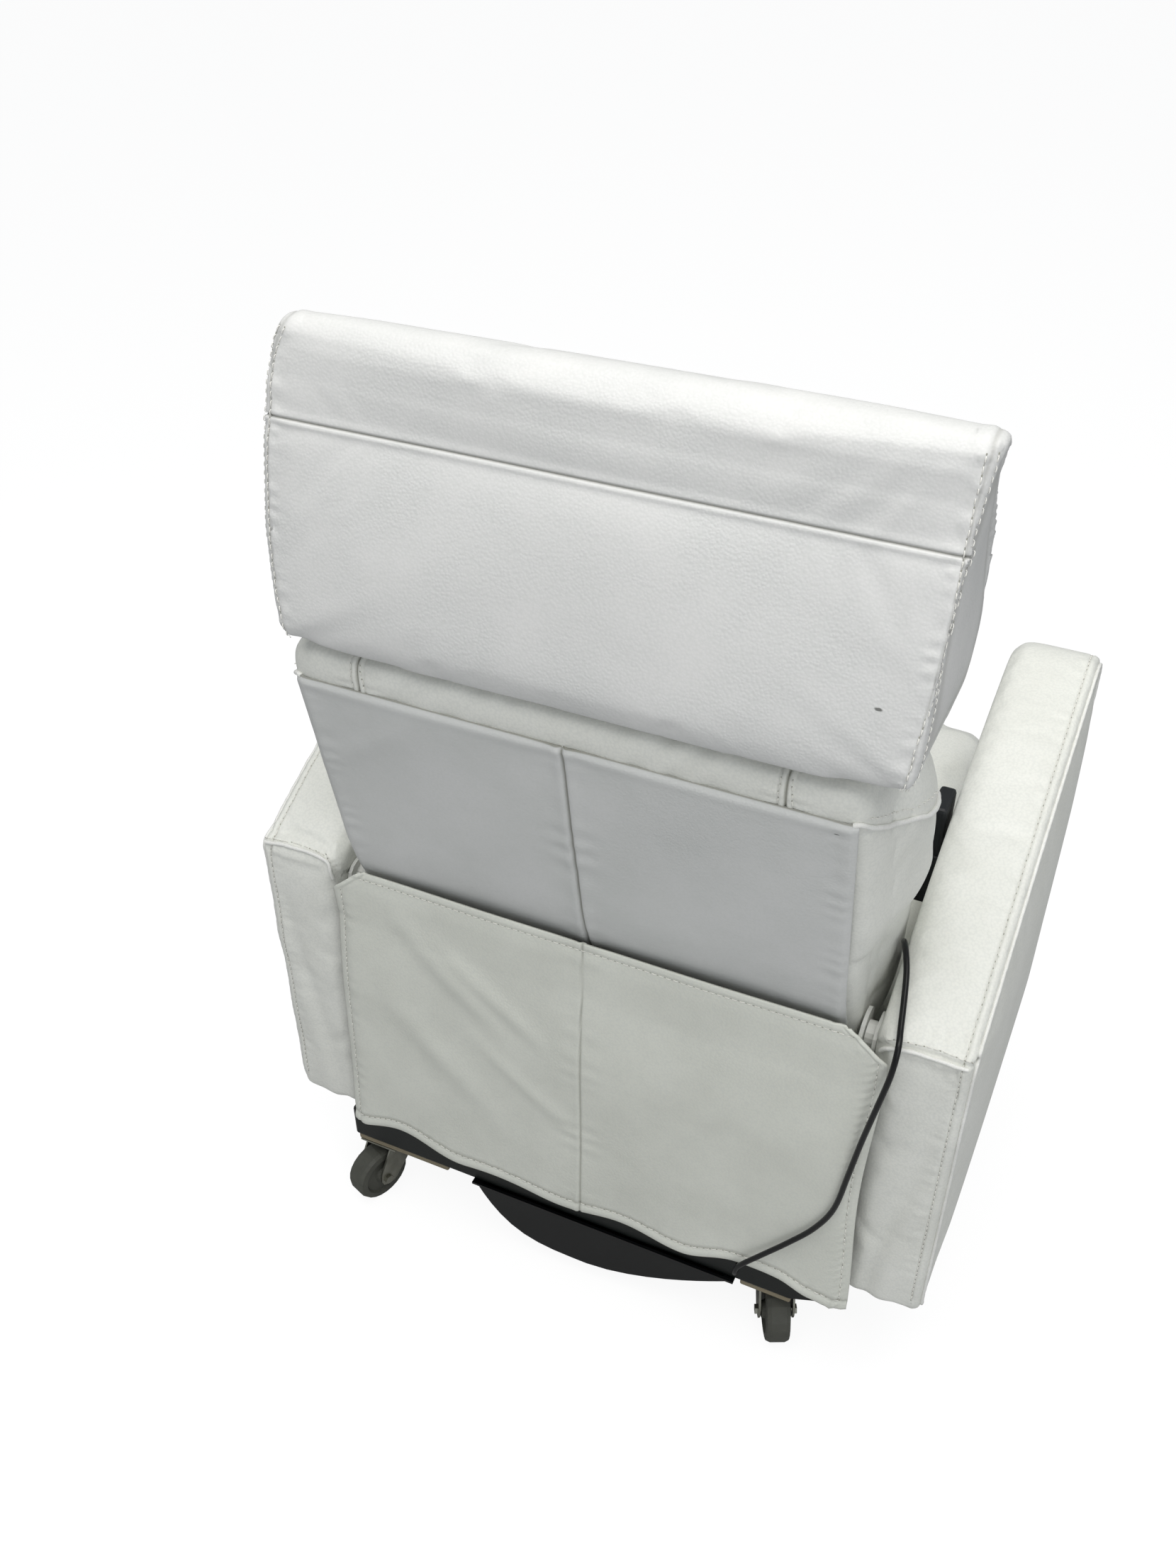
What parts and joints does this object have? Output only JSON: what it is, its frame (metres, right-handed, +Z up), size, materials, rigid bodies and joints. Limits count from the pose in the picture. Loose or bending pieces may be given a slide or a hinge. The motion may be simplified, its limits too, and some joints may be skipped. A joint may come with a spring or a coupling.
{
  "type": "pedicure spa chair",
  "caption": "Upholstered pedicure chair top: reclining back with tilting headrest between padded arms, on a black plinth with swivel casters, wired hand control",
  "frame": {"origin": "floor level, centre of the chair's bounding box in plan", "axes": "+Z up, the sitter faces -Y, +X is the sitter's left"},
  "size_m": [0.844, 0.8243, 1.2175],
  "materials": {
    "white_leather": "pebbled white upholstery leather",
    "black_paint": "boards painted black, satin",
    "black_fibreglass": "glossy moulded",
    "plywood": "bare plywood",
    "zinc_steel": "zinc plated",
    "dark_steel": "dark powder coat",
    "grey_tyre": "moulded grey rubber",
    "black_plastic": "moulded, fine grain",
    "grey_button": "moulded, satin"
  },
  "bodies": {
    "base": {"arm_right": "white_leather", "arm_left": "white_leather", "recline_bracket_right": "dark_steel", "recline_bracket_left": "dark_steel", "actuator_clevis": "dark_steel", "seat_cushion": "white_leather", "seat_side_right": "plywood", "seat_side_left": "plywood", "seat_front_board": "plywood", "seat_deck": "plywood", "seat_apron": "white_leather", "plinth_rear": "black_paint", "plinth_front": "black_paint", "plinth_right": "black_paint", "plinth_left": "black_paint", "caster_board_right": "plywood", "caster_board_left": "plywood", "rail_right": "dark_steel", "rail_left": "dark_steel", "cross_rail_rear": "dark_steel", "cross_rail_middle": "dark_steel", "cross_rail_front": "dark_steel", "belly_pan": "black_fibreglass", "rear_flap": "white_leather", "flap_batten": "plywood", "caster_plate_rear_right": "zinc_steel", "caster_plate_rear_left": "zinc_steel", "caster_plate_front_right": "zinc_steel", "caster_plate_front_left": "zinc_steel", "control_box": "black_plastic", "lead_gland": "black_plastic", "handset_body": "black_plastic", "handset_holster": "black_plastic", "handset_relief": "black_plastic", "handset_lead": "black_plastic"},
    "back": {"back_shell": "white_leather", "back_cushion": "white_leather", "upper_cover": "white_leather", "back_side_plate_right": "dark_steel", "back_side_plate_left": "dark_steel", "crank_tube": "dark_steel", "headrest_strap_right": "zinc_steel", "headrest_strap_left": "zinc_steel"},
    "headrest": {"headrest_cushion": "white_leather", "headrest_clevis_right": "zinc_steel", "headrest_clevis_left": "zinc_steel"},
    "actuator": {"actuator_motor": "black_plastic"},
    "actuator_rod": {"actuator_rod": "zinc_steel"},
    "button_up": {"handset_button_up": "grey_button"},
    "button_down": {"handset_button_down": "grey_button"},
    "swivel_rear_right": {"caster_fork_rear_right": "zinc_steel"},
    "wheel_rear_right": {"caster_wheel_rear_right": "grey_tyre"},
    "swivel_rear_left": {"caster_fork_rear_left": "zinc_steel"},
    "wheel_rear_left": {"caster_wheel_rear_left": "grey_tyre"},
    "swivel_front_right": {"caster_fork_front_right": "zinc_steel"},
    "wheel_front_right": {"caster_wheel_front_right": "grey_tyre"},
    "swivel_front_left": {"caster_fork_front_left": "zinc_steel"},
    "wheel_front_left": {"caster_wheel_front_left": "grey_tyre"}
  },
  "joints": [
    {"name": "recline", "type": "hinge", "parent": "base", "child": "back", "pos_m": [0, 0.291, 0.545], "axis": [-1, 0, 0], "range_deg": [0, 15]},
    {"name": "headrest_tilt", "type": "hinge", "parent": "back", "child": "headrest", "pos_m": [0, 0.251, 0.9345], "axis": [1, 0, 0], "range_deg": [0, 30]},
    {"name": "actuator_swing", "type": "hinge", "parent": "base", "child": "actuator", "pos_m": [0, -0.064, 0.218], "axis": [1, 0, 0], "range_deg": [-0.5, 5]},
    {"name": "actuator_stroke", "type": "slide", "parent": "actuator", "child": "actuator_rod", "axis": [0, 0.9001, 0.4357], "range_m": [-0.036, 0.001]},
    {"name": "swivel_rear_right", "type": "hinge", "parent": "base", "child": "swivel_rear_right", "pos_m": [-0.2295, 0.282, 0.0906], "axis": [0, 0, 1], "continuous": true},
    {"name": "roll_rear_right", "type": "hinge", "parent": "swivel_rear_right", "child": "wheel_rear_right", "pos_m": [-0.24133, 0.30738, 0.039], "axis": [0.9063, 0.4226, 0], "continuous": true},
    {"name": "swivel_rear_left", "type": "hinge", "parent": "base", "child": "swivel_rear_left", "pos_m": [0.3055, 0.302, 0.0906], "axis": [0, 0, 1], "continuous": true},
    {"name": "roll_rear_left", "type": "hinge", "parent": "swivel_rear_left", "child": "wheel_rear_left", "pos_m": [0.31553, 0.32814, 0.039], "axis": [0.9336, -0.3584, 0], "continuous": true},
    {"name": "swivel_front_right", "type": "hinge", "parent": "base", "child": "swivel_front_right", "pos_m": [-0.2295, -0.209, 0.0906], "axis": [0, 0, 1], "continuous": true},
    {"name": "roll_front_right", "type": "hinge", "parent": "swivel_front_right", "child": "wheel_front_right", "pos_m": [-0.21992, -0.18269, 0.039], "axis": [0.9397, -0.342, 0], "continuous": true},
    {"name": "swivel_front_left", "type": "hinge", "parent": "base", "child": "swivel_front_left", "pos_m": [0.3055, -0.209, 0.0906], "axis": [0, 0, 1], "continuous": true},
    {"name": "roll_front_left", "type": "hinge", "parent": "swivel_front_left", "child": "wheel_front_left", "pos_m": [0.28944, -0.18606, 0.039], "axis": [0.8192, 0.5736, 0], "continuous": true},
    {"name": "press_up", "type": "slide", "parent": "base", "child": "button_up", "axis": [-1, 0, 0], "range_m": [0, 0.001], "stiffness_N_per_m": 400, "springref_m": -0.0005},
    {"name": "press_down", "type": "slide", "parent": "base", "child": "button_down", "axis": [-1, 0, 0], "range_m": [0, 0.001], "stiffness_N_per_m": 400, "springref_m": -0.0005}
  ],
  "couplings": [
    {"joint": "actuator_swing", "follows": "recline", "ratio": 0.262},
    {"joint": "actuator_stroke", "follows": "recline", "m_per_rad": -0.1275}
  ]
}
